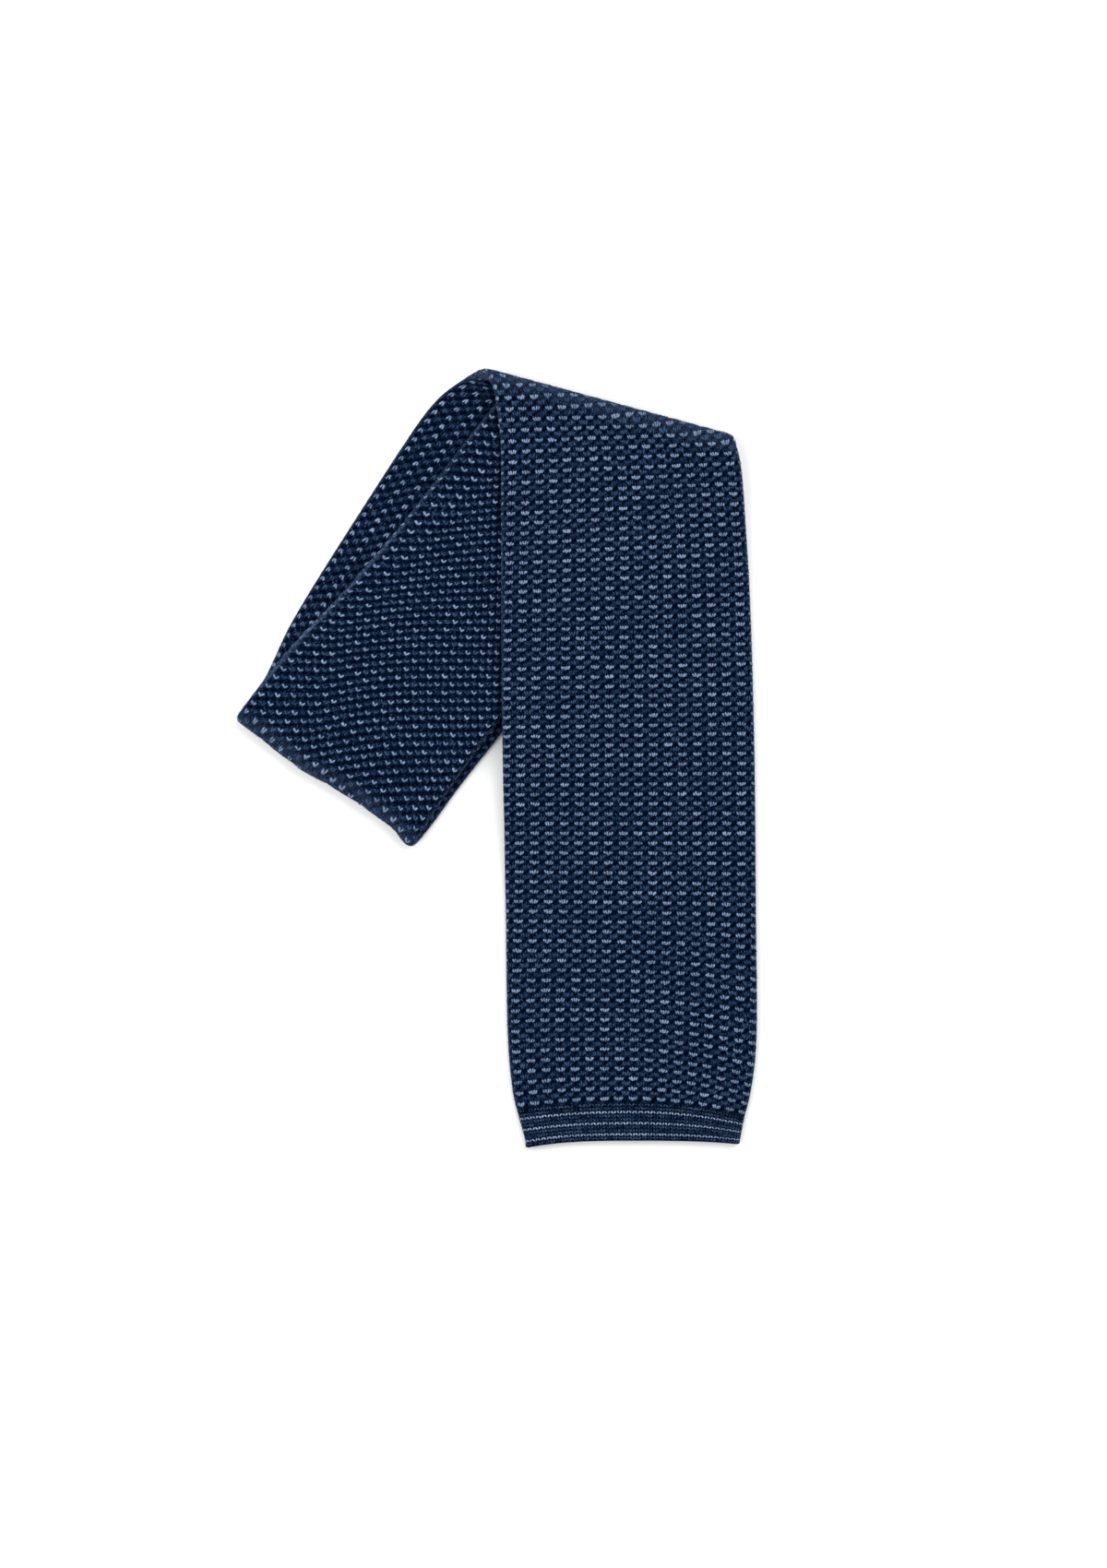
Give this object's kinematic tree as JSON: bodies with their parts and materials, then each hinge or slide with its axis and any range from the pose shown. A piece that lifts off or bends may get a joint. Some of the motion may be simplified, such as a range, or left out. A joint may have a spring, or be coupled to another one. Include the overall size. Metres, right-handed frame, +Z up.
{
  "type": "knit tie",
  "caption": "Knitted tie in dotted navy wool, lying folded: a square blade with a striped hem in front, a back layer behind it and the tail tucked between them.",
  "frame": {"origin": "under the middle of the folded tie's outline, on the surface that it lies on", "axes": "+Z up, -Y towards the blade's striped hem, +X to the right of someone who faces the blade with the hem nearest"},
  "size_m": [0.1246, 0.1862, 0.0108],
  "materials": {
    "dotted_knit": "soft brushed wool, tuck-stitch knit with light grey-blue dots on navy",
    "hem_knit": "plain wool stockinette in navy with fine light stripes"
  },
  "bodies": {
    "root": {"knit_tube": "dotted_knit", "blade_hem": "hem_knit"}
  },
  "joints": []
}
